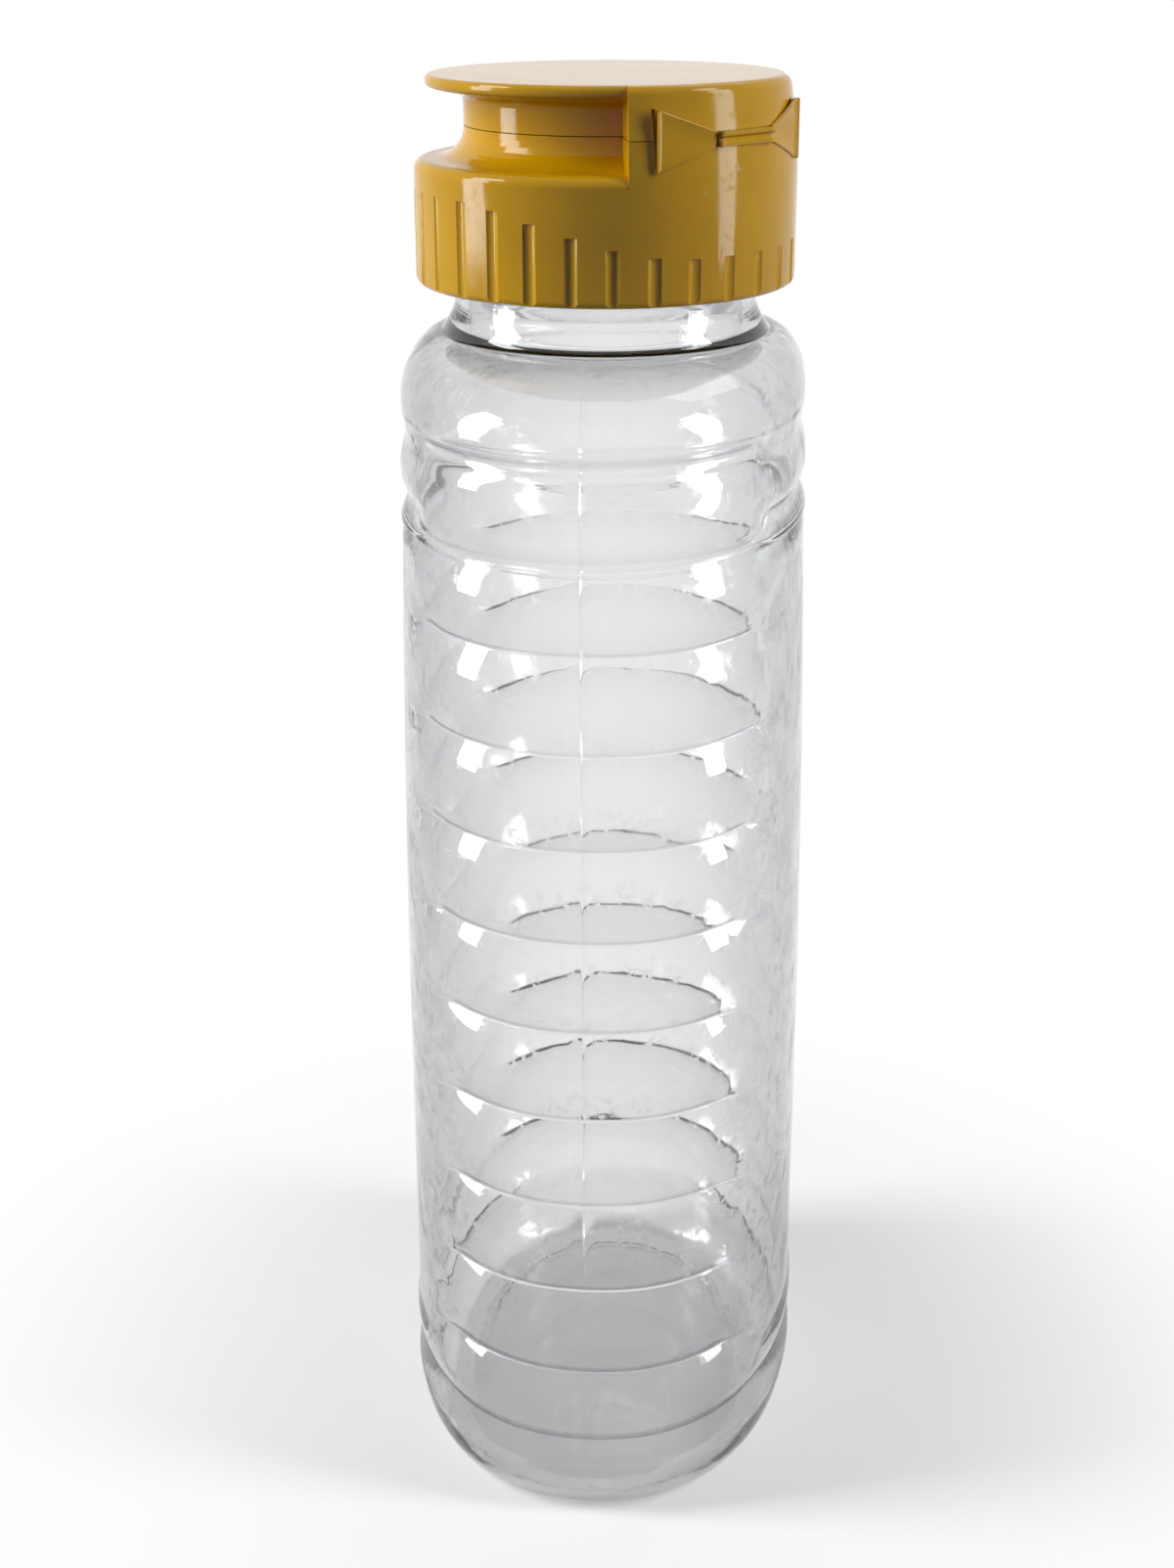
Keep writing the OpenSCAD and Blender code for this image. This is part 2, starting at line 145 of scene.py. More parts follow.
# Floor: its side, the radii between which it fades to white, and its glow next to the bottle
FLOOR_SIDE = 3
FLOOR_FADE_START = 0.035
FLOOR_FADE_END = 0.11
FLOOR_NEAR_GLOW = 0.3
FLOOR_CLOUDING = 0.99

# Lamps: direction from the camera's side, counted to the right, elevation, distance, width and height
LAMP_AIM = (0, 0, 0.1)
LEFT_SOFTBOX = (-78, 24, 0.5, 0.15, 0.5)
RIGHT_SOFTBOX = (80, 24, 0.5, 0.12, 0.5)
BACK_SOFTBOX = (160, 55, 0.7, 0.5, 0.3)

# Camera, fitted to the photograph's 1200 pixels of width; angles in degrees, pan and roll in radians
SENSOR_WIDTH = 36.0
FOCAL_PIXELS = 2309.4
FRAME_PIXELS = 1200
CAMERA_TURN = 5.0
CAMERA_DISTANCE = 0.2674
CAMERA_HEIGHT = 0.1925
CAMERA_PITCH = 21.5
CAMERA_PAN = -0.0088
CAMERA_ROLL = -0.0032
CAMERA_NEAR = 0.01


def length(name, description, default):
    return FloatProperty(name=name, description=description, default=default, unit="LENGTH")


def turn(name, description, degrees):
    return FloatProperty(
        name=name, description=description, default=math.radians(degrees), subtype="ANGLE"
    )


def colour(name, description, default):
    return FloatVectorProperty(
        name=name, description=description, subtype="COLOR", size=3, default=default
    )


def strength(name, description, default):
    return FloatProperty(name=name, description=description, default=default, min=0)


class BottleSizes(PropertyGroup):
    height: length("Height", "From the standing ring to the rim of the neck", 0.162)
    thickness: length("Thickness", "From one label panel to the other", 0.0508)
    width: length("Width", "From one ribbed end to the other", 0.068)
    narrowing: length("Narrowing", "How far each side draws in towards the shoulder", 0.0017)
    waist: length("Waist", "How far each ribbed end draws in at the waist", 0.0015)
    wall: length("Wall", "Thickness of the wall", 0.0007)
    rib_depth: length("Rib depth", "Depth of the grooves between the ribs", 0.0015)
    panel_depth: length("Panel depth", "Depth of the label panels", 0.0003)
    seam: length("Seam", "Height of the parting line on the ribbed ends", 0.00012)
    neck_radius: length("Neck radius", "Radius of the neck under the thread", 0.01765)
    bore_radius: length("Bore radius", "Radius of the neck's bore", 0.016)
    thread_pitch: length("Thread pitch", "Rise of the thread in one turn", 0.004233)


class ClosureSizes(PropertyGroup):
    radius: length("Radius", "Radius of the skirt", 0.022)
    hinge_direction: turn("Hinge direction", "Direction of the hinge, from +X", -41)
    wing_start: turn("Wing start", "Angle to the narrow end of each wing", 11.2)
    wing_end: turn("Wing end", "Angle to the wide end of each wing", 29.2)
    wing_height: length("Wing height", "Height of each wing at its wide end", 0.0065)
    wing_proud: length("Wing bulge", "How far each wing stands out of the skirt", 0.0001)
    strap: length("Strap thickness", "Thickness of the wings and the web", 0.00045)


class Finishes(PropertyGroup):
    closure: colour("Closure", "Colour of the closure", (0.6, 0.34, 0.003))
    closure_deep: colour(
        "Closure, deep", "Deeper colour in the closure's clouding", (0.48, 0.24, 0.001)
    )
    # painted shade: the clear wall's grey stands in for grey surroundings seen through it, and its
    # greyer tint on edge for dark reflections, in part also absorption along the longer path through the
    # wall
    clear: colour("Clear wall", "Tint of the wall seen straight on", (0.9, 0.905, 0.91))
    edge: colour("Wall on edge", "Tint of the wall seen along it", (0.4, 0.41, 0.43))
    liner: colour("Liner", "Colour of the foam liner", (0.82, 0.8, 0.75))
    floor: colour("Floor", "Colour of the floor", (0.9, 0.9, 0.9))


class StageSettings(PropertyGroup):
    left_lamp: strength("Left lamp", "Power of the lamp on the left", 3.2)
    right_lamp: strength("Right lamp", "Power of the lamp on the right", 2.0)
    back_lamp: strength("Back lamp", "Power of the lamp behind the bottle", 0.5)
    room: strength("Room light", "Strength of the light from the room", 0.1)


def smooth(t):
    t = max(0.0, min(1.0, t))
    return t * t * (3 - 2 * t)


def mix(a, b, t):
    return a + (b - a) * t


def dip(z, middle, spread):
    return math.exp(-(((z - middle) / spread) ** 2))


def side_ring(z, end_ring, shape):
    """Depth of a ring where it crosses the sides, for the height of its part on the ribbed ends."""
    depth, away, spread = shape
    return depth * dip(z, end_ring + away, spread)


def deselect_all():
    """Leaves object mode with nothing selected."""
    if bpy.context.object is not None and bpy.context.object.mode != "OBJECT":
        bpy.ops.object.mode_set(mode="OBJECT")
    bpy.ops.object.select_all(action="DESELECT")


def laid_grid(name, columns, rows, place):
    """A flat grid whose points are laid on a surface by place(u, v), with its seams closed."""
    deselect_all()
    bpy.ops.mesh.primitive_grid_add(
        x_subdivisions=columns, y_subdivisions=rows, size=1, location=(0, 0, 0)
    )
    piece = bpy.context.object
    piece.name = name
    piece.data.name = name
    for vertex in piece.data.vertices:
        vertex.co = place(vertex.co.x + 0.5, vertex.co.y + 0.5)
    bpy.ops.object.mode_set(mode="EDIT")
    bpy.ops.mesh.select_all(action="SELECT")
    bpy.ops.mesh.remove_doubles(threshold=1e-7)
    bpy.ops.mesh.faces_shade_smooth()
    bpy.ops.object.mode_set(mode="OBJECT")
    piece.data.update()
    return piece


def thicken(piece, thickness):
    """Gives a sheet its thickness, inwards from the face that was laid."""
    deselect_all()
    bpy.context.view_layer.objects.active = piece
    piece.select_set(True)
    modifier = piece.modifiers.new("Solidify", "SOLIDIFY")
    modifier.thickness = thickness
    modifier.offset = -1.0
    bpy.ops.object.modifier_apply(modifier=modifier.name)


class BottleForm:
    """Surface of the bottle, from the middle of its bottom up to the rim and down inside."""

    def __init__(self, sizes):
        self.s = sizes
        self.shoulder_top = sizes.height - NECK_RISE
        self.shoulder = self.shoulder_top - SHOULDER_RISE
        self.upper_ring = self.shoulder - UPPER_RING_DROP
        self.lower_ring = self.upper_ring - RING_GAP
        self.panel_top = self.lower_ring - PANEL_TOP_DROP
        self.rib_pitch = (self.lower_ring - HEEL_GROOVE - 2 * END_RIB) / RIB_COUNT
        self.foot = sizes.neck_radius + NECK_FOOT_EXTRA
        self.rings = self.outer() + self.neck() + self.inner()

    def section(self, z):
        """Half thickness, half width and squareness at a height."""
        s = self.s
        rise = (z - self.shoulder) / SHOULDER_RISE
        full = 1.0 if rise <= 0 else math.sqrt(max(0.0, 1 - rise * rise))
        heel = 0.0
        if z < HEEL_HEIGHT:
            heel = HEEL_INSET * (1 - math.sqrt(max(0.0, 1 - (1 - z / HEEL_HEIGHT) ** 2)))
        above = max(0.0, z - NARROWING_START) / (self.shoulder - NARROWING_START)
        draw = min(s.narrowing * above**2, s.narrowing)
        a = mix(self.foot, s.thickness / 2 - draw, full) - heel
        waist = s.waist * dip(z, WAIST_HEIGHT, WAIST_SPREAD)
        b = mix(self.foot, s.width / 2 - waist, full) - heel
        return a, b, mix(ROUND_SECTION, OVAL_SECTION, full)

    def corner_cut(self, rise):
        """How much a panel's round corner takes off its half width, at a rise from its end."""
        if rise >= PANEL_CORNER:
            return 0.0
        away = PANEL_CORNER - max(rise, 0.0)
        return PANEL_CORNER - math.sqrt(max(0.0, PANEL_CORNER**2 - away**2))

    def panel_half(self, z):
        half = mix(PANEL_LOW_HALF, PANEL_TOP_HALF, smooth((z - WAIST_HEIGHT) / PANEL_TAPER))
        return half - self.corner_cut(z - PANEL_BOTTOM) - self.corner_cut(self.panel_top - z)

    # A level has its kind, its height, its depth on the ribbed ends and on the sides, and the
    # distance from the middle at which the sides give way to the ends.

    def plain(self, z):
        return ("body", z, 0.0, 0.0, PANEL_TOP_HALF)

    def ringed(self, z):
        ends = RING_DEPTH * (
            dip(z, self.upper_ring, UPPER_RING_SPREAD) + dip(z, self.lower_ring, LOWER_RING_SPREAD)
        )
        sides = side_ring(z, self.upper_ring, UPPER_SIDE_RING)
        sides += side_ring(z, self.lower_ring, LOWER_SIDE_RING)
        return ("body", z, ends, sides, PANEL_TOP_HALF)

    def ribbed(self, z, u):
        """A level of a rib, u from -1 in the groove under it to 1 in the groove above it."""
        depth = self.s.rib_depth * abs(u) ** RIB_ROUNDNESS
        in_panel = PANEL_BOTTOM < z < self.panel_top
        return ("body", z, depth, self.s.panel_depth if in_panel else depth, self.panel_half(z))

    def heel_levels(self, steps):
        rises = [1 - math.cos(math.pi / 2 * i / steps) for i in range(steps)]
        return [self.plain(HEEL_HEIGHT * rise) for rise in rises]

    def rib_levels(self, steps):
        levels = []
        first = HEEL_GROOVE + END_RIB
        for k in range(RIB_COUNT + 2):
            low = HEEL_GROOVE if k == 0 else first + (k - 1) * self.rib_pitch
            high = self.lower_ring if k > RIB_COUNT else first + k * self.rib_pitch
            for i in range(steps):
                # levels lie closer together near the grooves
                u = -math.cos(math.pi * i / steps)
                levels.append(self.ribbed(mix(low, high, (u + 1) / 2), u))
        return levels

    def ring_levels(self, steps):
        return [self.ringed(mix(self.lower_ring, self.shoulder, i / steps)) for i in range(steps)]

    def shoulder_levels(self, steps):
        rises = [math.sin(math.pi / 2 * i / steps) for i in range(steps)]
        return [self.plain(self.shoulder + SHOULDER_RISE * rise) for rise in rises]

    def moved(self, levels, inset=0.0, lift=0.0):
        """Levels with how far they lie inside the outer surface and above their own height."""
        return [level + (inset, lift) for level in levels]

    def outer(self):
        rings = [("dome", share / DOME_STEPS, 0.0) for share in range(DOME_STEPS + 1)]
        rings += self.moved(self.heel_levels(HEEL_STEPS))
        rings += self.moved(self.rib_levels(RIB_STEPS))
        rings += self.moved(self.ring_levels(RING_STEPS))
        rings += self.moved(self.shoulder_levels(SHOULDER_STEPS))
        return rings

    def neck(self):
        outside, bore, top = self.s.neck_radius, self.s.bore_radius, self.s.height
        edge = top - RIM_ROUND
        rings = [("round", outside + out, self.shoulder_top + rise) for out, rise in NECK_FLARE]
        low = self.shoulder_top + NECK_STRAIGHT_FROM
        rings += [("thread", outside, mix(low, edge, i / NECK_STEPS)) for i in range(NECK_STEPS + 1)]
        rings += [
            ("round", outside - RIM_SOFTENING, top - RIM_SOFTENING),
            ("round", outside - RIM_ROUND, top),
            ("round", bore + RIM_ROUND, top),
            ("round", bore, edge),
        ]
        down = [i / BORE_STEPS for i in range(1, BORE_STEPS + 1)]
        rings += [("round", bore, mix(edge, self.shoulder_top, share)) for share in down]
        return rings

    def inner(self):
        wall, edge = self.s.wall, NECK_INNER_EDGE
        rings = [("round", self.s.bore_radius + edge, self.shoulder_top - edge)]
        # the highest level of the shoulder and of the rings is left out, where the inside turns
        rings += self.moved(self.shoulder_levels(INNER_SHOULDER_STEPS)[-2::-1], wall, -wall)
        rings += self.moved(self.ring_levels(INNER_RING_STEPS)[-2::-1], wall)
        rings += self.moved(self.rib_levels(INNER_RIB_STEPS)[::-1], wall)
        rings += self.moved(self.heel_levels(INNER_HEEL_STEPS)[::-1], wall, wall)
        shares = range(INNER_DOME_STEPS - 1, -1, -1)
        rings += [("dome", share / INNER_DOME_STEPS, wall) for share in shares]
        return rings

    def body_point(self, level, angle):
        _, z, ends, sides, give, inset, lift = level
        a, b, n = self.section(z)
        c, s = math.cos(angle), math.sin(angle)
        x = a * math.copysign(abs(c) ** (2 / n), c)
        y = b * math.copysign(abs(s) ** (2 / n), s)
        gx = math.copysign((abs(x) / a) ** (n - 1) / a, x)
        gy = math.copysign((abs(y) / b) ** (n - 1) / b, y)
        side = smooth((give - abs(y)) / PANEL_EDGE + 0.5)
        depth = mix(ends, sides, side) + inset
        if inset == 0.0 and z > HEEL_HEIGHT:
            depth -= self.s.seam * smooth(1 - abs(x) / SEAM_HALF)
        slope = math.hypot(gx, gy)
        return Vector((x - gx * depth / slope, y - gy * depth / slope, z + lift))

    def dome_point(self, share, lift, angle):
        """A point of the raised bottom, at a share of the way out to the standing ring."""
        rim = self.body_point(self.plain(0.0) + (STANDING_RING, 0.0), angle)
        height = PUSH_UP * math.sqrt(max(0.0, 1 - share * share))
        return Vector((rim.x * share, rim.y * share, height + lift))

    def thread_height(self, angle, z):
        """How far the thread stands out of the neck at an angle and height."""
        pitch = self.s.thread_pitch
        start = self.s.height - THREAD_TOP_DROP - THREAD_TURNS * pitch
        height = 0.0
        for k in range(-1, 2):
            t = angle / (2 * math.pi) + k
            if 0 <= t <= THREAD_TURNS:
                away = abs(z - start - pitch * t)
                ends = smooth(min(t, THREAD_TURNS - t) / THREAD_FADE)
                flank = smooth((THREAD_HALF - away) / THREAD_FLANK)
                height = max(height, THREAD_DEPTH * ends * flank)
        return height

    def point(self, ring, angle):
        level = self.rings[ring]
        kind = level[0]
        if kind == "body":
            return self.body_point(level, angle)
        if kind == "dome":
            return self.dome_point(level[1], level[2], angle)
        _, r, z = level
        if kind == "thread":
            r += self.thread_height(angle % (2 * math.pi), z)
        return Vector((r * math.cos(angle), r * math.sin(angle), z))


def column_angles():
    """Angles round the bottle, with extra ones beside the parting line at each ribbed end."""
    angles = [2 * math.pi * i / COLUMNS for i in range(COLUMNS)]
    for end in (math.pi / 2, 3 * math.pi / 2):
        angles += [end + math.radians(degrees) for degrees in SEAM_TURNS]
    return sorted(angles) + [2 * math.pi]


def set_inputs(node, **values):
    """Sets a node's inputs, each named with _ for its spaces."""
    for key, value in values.items():
        node.inputs[key.replace("_", " ")].default_value = value


def maths(nodes, links, operation, a, b):
    """A Math node on two sockets."""
    node = nodes.new("ShaderNodeMath")
    node.operation = operation
    links.new(a, node.inputs[0])
    links.new(b, node.inputs[1])
    return node.outputs["Value"]


def handling_group():
    """Clouding, fine scuffs and a height that every plastic piece of the bottle shows."""
    found = bpy.data.node_groups.get("Handling marks")
    if found:
        return found
    group = bpy.data.node_groups.new("Handling marks", "ShaderNodeTree")
    for name, value in (("Cloud scale", 40.0), ("Scuff scale", 900.0), ("Scuff amount", 0.3)):
        socket = group.interface.new_socket(
            name=name, in_out="INPUT", socket_type="NodeSocketFloat"
        )
        socket.default_value = value
    for name in ("Cloud", "Scuff", "Height"):
        group.interface.new_socket(name=name, in_out="OUTPUT", socket_type="NodeSocketFloat")
    nodes, links = group.nodes, group.links
    inputs, outputs = nodes.new("NodeGroupInput"), nodes.new("NodeGroupOutput")
    where = nodes.new("ShaderNodeTexCoord")
    centred = nodes.new("ShaderNodeMapping")
    set_inputs(centred, Location=(0.013, -0.007, 0.004))
    links.new(where.outputs["Object"], centred.inputs["Vector"])
    cloud, scuff = nodes.new("ShaderNodeTexNoise"), nodes.new("ShaderNodeTexNoise")
    set_inputs(cloud, Detail=3.0)
    set_inputs(scuff, Detail=6.0, Roughness=0.7)
    for texture, scale in ((cloud, "Cloud scale"), (scuff, "Scuff scale")):
        links.new(inputs.outputs[scale], texture.inputs["Scale"])
        links.new(centred.outputs["Vector"], texture.inputs["Vector"])
    sharp = nodes.new("ShaderNodeMapRange")
    set_inputs(sharp, From_Min=0.58, From_Max=0.78)
    links.new(scuff.outputs["Fac"], sharp.inputs["Value"])
    amount = maths(
        nodes, links, "MULTIPLY", sharp.outputs["Result"], inputs.outputs["Scuff amount"]
    )
    height = maths(nodes, links, "SUBTRACT", cloud.outputs["Fac"], amount)
    links.new(cloud.outputs["Fac"], outputs.inputs["Cloud"])
    links.new(amount, outputs.inputs["Scuff"])
    links.new(height, outputs.inputs["Height"])
    return group


def new_material(name, **marking):
    """A material with its Principled shader and the marks group, whose inputs are given."""
    material = bpy.data.materials.new(name)
    material.use_nodes = True
    nodes, links = material.node_tree.nodes, material.node_tree.links
    marks = nodes.new("ShaderNodeGroup")
    marks.node_tree = handling_group()
    set_inputs(marks, **marking)
    return material, nodes, links, nodes.get("Principled BSDF"), marks.outputs


def colour_mix(nodes, links, factor, a, b):
    """A colour mix; its factor is a socket, and its colours are sockets or plain colours."""
    blend = nodes.new("ShaderNodeMix")
    blend.data_type = "RGBA"
    links.new(factor, blend.inputs["Factor"])
    for value, socket in ((a, blend.inputs[6]), (b, blend.inputs[7])):
        if isinstance(value, bpy.types.NodeSocket):
            links.new(value, socket)
        else:
            socket.default_value = (*value, 1.0)
    return blend.outputs[2]


def clouded_roughness(nodes, links, marks, shader, low, high):
    """Roughness that follows the clouding, from low to high."""
    remap = nodes.new("ShaderNodeMapRange")
    set_inputs(remap, From_Min=0.3, From_Max=0.7, To_Min=low, To_Max=high)
    links.new(marks["Cloud"], remap.inputs["Value"])
    links.new(remap.outputs["Result"], shader.inputs["Roughness"])


def relief(nodes, links, marks, shader, strength, distance):
    """Bumps from the marks' height."""
    bump = nodes.new("ShaderNodeBump")
    set_inputs(bump, Strength=strength, Distance=distance)
    links.new(marks["Height"], bump.inputs["Height"])
    links.new(bump.outputs["Normal"], shader.inputs["Normal"])


def clear_wall(finish):
    """Clear blow-moulded wall with waves and fine scuffs; its slight grey is painted shade for grey
    surroundings seen through it, and its greyer edge is painted shade for dark reflections, in part also
    absorption along the longer path through the wall.
    """
    material, nodes, links, shader, marks = new_material(
        "Clear wall", Cloud_scale=70.0, Scuff_scale=700.0, Scuff_amount=0.12
    )
    facing = nodes.new("ShaderNodeLayerWeight")
    set_inputs(facing, Blend=0.35)
    # painted shade: grey for surroundings seen through the wall, and greyer at grazing angles for dark
    # reflections, in part absorption along the longer path through the wall
    painted_shade_tint = colour_mix(nodes, links, facing.outputs["Facing"], finish.clear, finish.edge)
    painted_shade_and_scuffs = colour_mix(nodes, links, marks["Scuff"], painted_shade_tint, SCUFFED_WALL)
    links.new(painted_shade_and_scuffs, shader.inputs["Base Color"])
    clouded_roughness(nodes, links, marks, shader, 0.01, 0.045)
    relief(nodes, links, marks, shader, 0.25, 0.0004)
    set_inputs(shader, IOR=1.57, Transmission_Weight=1.0)
    return material


def moulded_yellow(finish):
    """Glossy yellow moulding with clouding, flow waves and rubbed places."""
    found = bpy.data.materials.get("Moulded yellow")
    if found:
        return found
    material, nodes, links, shader, marks = new_material(
        "Moulded yellow", Cloud_scale=110.0, Scuff_scale=1100.0, Scuff_amount=0.35
    )
    body = colour_mix(nodes, links, marks["Cloud"], finish.closure_deep, finish.closure)
    rubbed = colour_mix(nodes, links, marks["Scuff"], body, RUBBED_YELLOW)
    links.new(rubbed, shader.inputs["Base Color"])
    clouded_roughness(nodes, links, marks, shader, 0.06, 0.13)
    relief(nodes, links, marks, shader, 0.18, 0.00015)
    set_inputs(shader, IOR=1.5, Specular_IOR_Level=0.2)
    return material


def foam_face(finish):
    """Matte foam of the liner, with fine cells."""
    material, nodes, links, shader, marks = new_material(
        "Liner foam", Cloud_scale=300.0, Scuff_scale=3000.0
    )
    cells = colour_mix(nodes, links, marks["Cloud"], LINER_CELLS, finish.liner)
    links.new(cells, shader.inputs["Base Color"])
    clouded_roughness(nodes, links, marks, shader, 0.7, 0.9)
    relief(nodes, links, marks, shader, 0.5, 0.0002)
    return material


def dress(piece, material):
    """Gives every slot of a piece one material."""
    if not piece.material_slots:
        piece.data.materials.append(material)
    for slot in piece.material_slots:
        slot.material = material


class HONEY_OT_bottle(Operator):
    """Model the clear bottle with its ribs, panels, neck and thread"""

    bl_idname = "honey.bottle"
    bl_label = "Bottle"

    def execute(self, context):
        form = BottleForm(context.scene.honey_bottle)
        angles = column_angles()
        columns, rows = len(angles) - 1, len(form.rings) - 1

        def place(u, v):
            return form.point(round(v * rows), angles[round(u * columns)])

        bottle = laid_grid("bottle_shell", columns, rows, place)
        dress(bottle, clear_wall(context.scene.honey_finish))
        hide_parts("bottle")
        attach(bottle, "bottle")
        return {"FINISHED"}


def closure_point(sizes, angle, r, z):
    """A point of the closure: angle from the hinge, radius, and height over the split."""
    angle += sizes.hinge_direction
    return Vector((r * math.cos(angle), r * math.sin(angle), SPLIT_HEIGHT + z))


def wing_point(sizes, side, run, across):
    """A point of a wing: run from its narrow end to its lip, across from its lower edge to its upper."""
    along = min(run / WING_FLAT_SHARE, 1.0)
    fold = max(0.0, (run - WING_FLAT_SHARE) / (1 - WING_FLAT_SHARE))
    half = mix(WING_TIP_HALF, sizes.wing_height / 2, along**WING_FLARE)
    half *= 1 - WING_END_SHRINK * fold
    hollow = WING_HOLLOW * math.sin(math.pi * along) * (1 - across**2)
    proud = STRAP_LIFT + sizes.wing_proud * along**2 - hollow
    proud += LIP_BULGE * math.sin(math.pi * min(1.0, fold * 1.6))
    proud -= LIP_TUCK * smooth(fold * 1.4 - 0.4)
    angle = mix(sizes.wing_start, sizes.wing_end, along)
    angle += LIP_TURN * math.sin(math.pi / 2 * fold)
    return closure_point(sizes, side * angle, sizes.radius + proud, across * half)


def web_point(sizes, share, across):
    """A point of the web: share from -1 to 1 along the hinge, across from edge to edge."""
    reach = sizes.radius * math.sin(sizes.wing_start)
    direction = sizes.hinge_direction
    along = Vector((-math.sin(direction), math.cos(direction), 0.0))
    thinned = WEB_GROOVE * math.exp(-((across / WEB_GROOVE_SPREAD) ** 2))
    ledge = WEB_LEDGE * smooth((across - WEB_LEDGE_START) / WEB_LEDGE_RAMP)
    r = sizes.radius + STRAP_LIFT - thinned + ledge
    return closure_point(sizes, 0.0, r, across * WEB_HALF) + along * reach * share


class HONEY_OT_hinge_wings(Operator):
    """Model the two folded spring wings of the hinge"""

    bl_idname = "honey.hinge_wings"
    bl_label = "Hinge wings"

    def execute(self, context):
        sizes = context.scene.honey_closure
        finish = moulded_yellow(context.scene.honey_finish)
        for side, name in ((-1, "left"), (1, "right")):

            def place(u, v, side=side):
                return wing_point(sizes, side, u if side > 0 else 1 - u, 2 * v - 1)

            wing = laid_grid("hinge_wing_" + name + "_folded", *WING_CELLS, place)
            thicken(wing, sizes.strap)
            dress(wing, finish)
            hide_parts("hinge_wing_" + name)
            middle = closure_point(sizes, 0.0, sizes.radius + HINGE_LIFT, 0.0)
            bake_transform(wing)
        return {"FINISHED"}


class HONEY_OT_hinge_web(Operator):
    """Model the short strap between the wings"""

    bl_idname = "honey.hinge_web"
    bl_label = "Hinge web"

    def execute(self, context):
        sizes = context.scene.honey_closure

        def place(u, v):
            return web_point(sizes, 2 * u - 1, 2 * v - 1)

        web = laid_grid("hinge_web_strap", *WEB_CELLS, place)
        thicken(web, sizes.strap)
        dress(web, moulded_yellow(context.scene.honey_finish))
        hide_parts("hinge_web")
        middle = closure_point(sizes, 0.0, sizes.radius + HINGE_LIFT, 0.0)
        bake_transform(web)
        return {"FINISHED"}


class HONEY_OT_closure_finish(Operator):
    """Give the closure base, the lid and the liner their finishes"""

    bl_idname = "honey.closure_finish"
    bl_label = "Closure finish"

    def execute(self, context):
        finish = context.scene.honey_finish
        for node in ("cap_base", "lid"):
            dress(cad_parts[node], moulded_yellow(finish))
        dress(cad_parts["sealing_liner"], foam_face(finish))
        return {"FINISHED"}


def softbox(name, placing, power):
    """A rectangular lamp that is aimed at the bottle's middle."""
    direction, elevation, distance, width, height = placing
    aim = Vector(LAMP_AIM)
    a, e = math.radians(direction), math.radians(elevation)
    towards = Vector((math.sin(a) * math.cos(e), -math.cos(a) * math.cos(e), math.sin(e)))
    data = bpy.data.lights.new(name, "AREA")
    data.shape = "RECTANGLE"
    data.size, data.size_y, data.energy = width, height, power
    lamp = bpy.data.objects.new(name, data)
    bpy.context.scene.collection.objects.link(lamp)
    lamp.location = aim + distance * towards
    lamp.rotation_euler = (-distance * towards).to_track_quat("-Z", "Y").to_euler()


def seen_rays(nodes, links):
    """1 for camera, glossy and transmission rays, which see the plain background, else 0."""
    path = nodes.new("ShaderNodeLightPath").outputs
    seen = maths(nodes, links, "MAXIMUM", path["Is Camera Ray"], path["Is Glossy Ray"])
    return maths(nodes, links, "MAXIMUM", seen, path["Is Transmission Ray"])


def pale_floor(pale):
    """Matte floor that keeps the bottle's shadow near it and fades to white farther away."""
    material, nodes, links, shader, marks = new_material("Pale floor", Cloud_scale=6.0)
    dimmer = [FLOOR_CLOUDING * channel for channel in pale]
    lit = colour_mix(nodes, links, marks["Cloud"], dimmer, pale)
    clouded_roughness(nodes, links, marks, shader, 0.85, 0.95)
    where = nodes.new("ShaderNodeTexCoord")
    away = nodes.new("ShaderNodeVectorMath")
    away.operation = "LENGTH"
    links.new(where.outputs["Object"], away.inputs[0])
    fade = nodes.new("ShaderNodeMapRange")
    fade.interpolation_type = "SMOOTHSTEP"
    set_inputs(
        fade, From_Min=FLOOR_FADE_START, From_Max=FLOOR_FADE_END, To_Min=FLOOR_NEAR_GLOW
    )
    links.new(away.outputs["Value"], fade.inputs["Value"])
    far = fade.outputs["Result"]
    links.new(colour_mix(nodes, links, far, lit, (0, 0, 0)), shader.inputs["Base Color"])
    glow = maths(nodes, links, "MULTIPLY", far, seen_rays(nodes, links))
    links.new(glow, shader.inputs["Emission Strength"])
    set_inputs(shader, Emission_Color=(1, 1, 1, 1), Specular_IOR_Level=0.0)
    return material


def pale_room(scene, room):
    """World that is white where it is seen and lights the bottle only as much as the room does."""
    world = bpy.data.worlds.new("Pale room")
    scene.world = world
    world.use_nodes = True
    nodes, links = world.node_tree.nodes, world.node_tree.links
    nodes.clear()
    level = nodes.new("ShaderNodeMapRange")
    set_inputs(level, To_Min=room, To_Max=1.0)
    links.new(seen_rays(nodes, links), level.inputs["Value"])
    light = nodes.new("ShaderNodeBackground")
    set_inputs(light, Color=(1, 1, 1, 1))
    links.new(level.outputs["Result"], light.inputs["Strength"])
    output = nodes.new("ShaderNodeOutputWorld")
    links.new(light.outputs["Background"], output.inputs["Surface"])


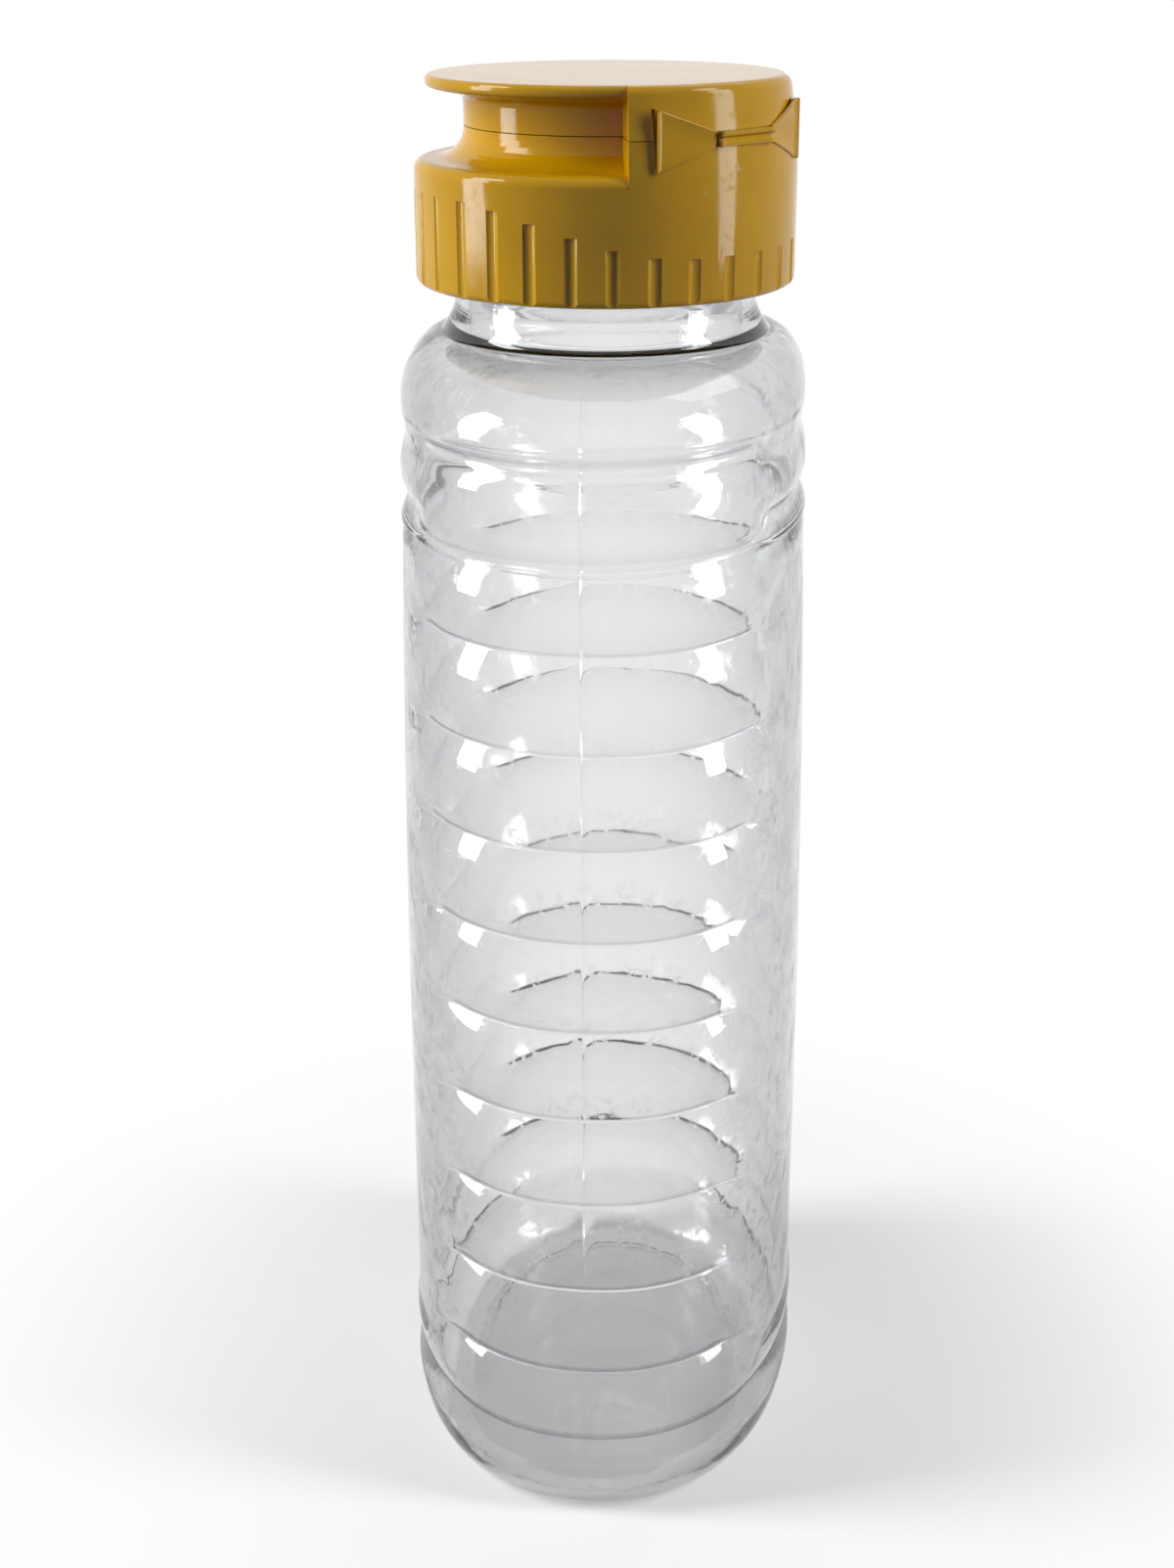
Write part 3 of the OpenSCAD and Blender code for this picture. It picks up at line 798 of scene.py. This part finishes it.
def photo_camera(scene):
    """Camera at the photograph's place, turned round the bottle's axis with it."""
    data = bpy.data.cameras.new("photo_camera")
    data.sensor_fit = "HORIZONTAL"
    data.sensor_width = SENSOR_WIDTH
    data.lens = SENSOR_WIDTH * FOCAL_PIXELS / FRAME_PIXELS
    data.clip_start = CAMERA_NEAR
    camera = bpy.data.objects.new("photo_camera", data)
    scene.collection.objects.link(camera)
    turned, pitch = math.radians(CAMERA_TURN), math.radians(CAMERA_PITCH)
    pan, roll = CAMERA_PAN, CAMERA_ROLL
    spot = Vector((
        CAMERA_DISTANCE * math.sin(turned), -CAMERA_DISTANCE * math.cos(turned), CAMERA_HEIGHT
    ))
    level = math.cos(pitch)
    forward = Vector((math.sin(pan) * level, math.cos(pan) * level, -math.sin(pitch)))
    right = Vector((math.cos(pan), -math.sin(pan), 0.0))
    up = right.cross(forward)
    across = math.cos(roll) * right + math.sin(roll) * up
    upright = -math.sin(roll) * right + math.cos(roll) * up
    axes = Matrix((across, upright, -forward)).transposed().to_4x4()
    camera.matrix_world = Matrix.Translation(spot) @ Matrix.Rotation(turned, 4, "Z") @ axes
    scene.camera = camera


class HONEY_OT_stage(Operator):
    """Set up the floor, the lamps, the room light and the camera"""

    bl_idname = "honey.stage"
    bl_label = "Stage"

    def execute(self, context):
        scene, settings = context.scene, context.scene.honey_stage
        deselect_all()
        bpy.ops.mesh.primitive_plane_add(size=FLOOR_SIDE, location=(0, 0, 0))
        floor = context.object
        floor.name = "floor"
        dress(floor, pale_floor(scene.honey_finish.floor))
        pale_room(scene, settings.room)
        softbox("left_softbox", LEFT_SOFTBOX, settings.left_lamp)
        softbox("right_softbox", RIGHT_SOFTBOX, settings.right_lamp)
        softbox("back_softbox", BACK_SOFTBOX, settings.back_lamp)
        photo_camera(scene)
        scene.view_settings.view_transform = "Standard"
        return {"FINISHED"}


class HONEY_PT_sidebar(Panel):
    """Steps that make the bottle, in order, and its settings"""

    bl_label = "Honey bottle"
    bl_idname = "HONEY_PT_sidebar"
    bl_space_type = "VIEW_3D"
    bl_region_type = "UI"
    bl_category = "Honey bottle"

    def draw(self, context):
        for step in STEPS:
            self.layout.operator(step.bl_idname)
        for name in SETTINGS:
            group = getattr(context.scene, name)
            box = self.layout.box()
            for key in group.__annotations__:
                box.prop(group, key)


STEPS = (
    HONEY_OT_bottle,
    HONEY_OT_hinge_wings,
    HONEY_OT_hinge_web,
    HONEY_OT_closure_finish,
    HONEY_OT_stage,
)
SETTINGS = {
    "honey_bottle": BottleSizes,
    "honey_closure": ClosureSizes,
    "honey_finish": Finishes,
    "honey_stage": StageSettings,
}


def register():
    for kind in (*SETTINGS.values(), *STEPS, HONEY_PT_sidebar):
        bpy.utils.register_class(kind)
    for name, group in SETTINGS.items():
        setattr(bpy.types.Scene, name, PointerProperty(type=group))


def unregister():
    for name in SETTINGS:
        delattr(bpy.types.Scene, name)
    for kind in reversed((*SETTINGS.values(), *STEPS, HONEY_PT_sidebar)):
        bpy.utils.unregister_class(kind)


def main():
    register()
    bpy.ops.honey.bottle()
    bpy.ops.honey.hinge_wings()
    bpy.ops.honey.hinge_web()
    bpy.ops.honey.closure_finish()
    bpy.ops.honey.stage()


if __name__ == "__main__":
    main()
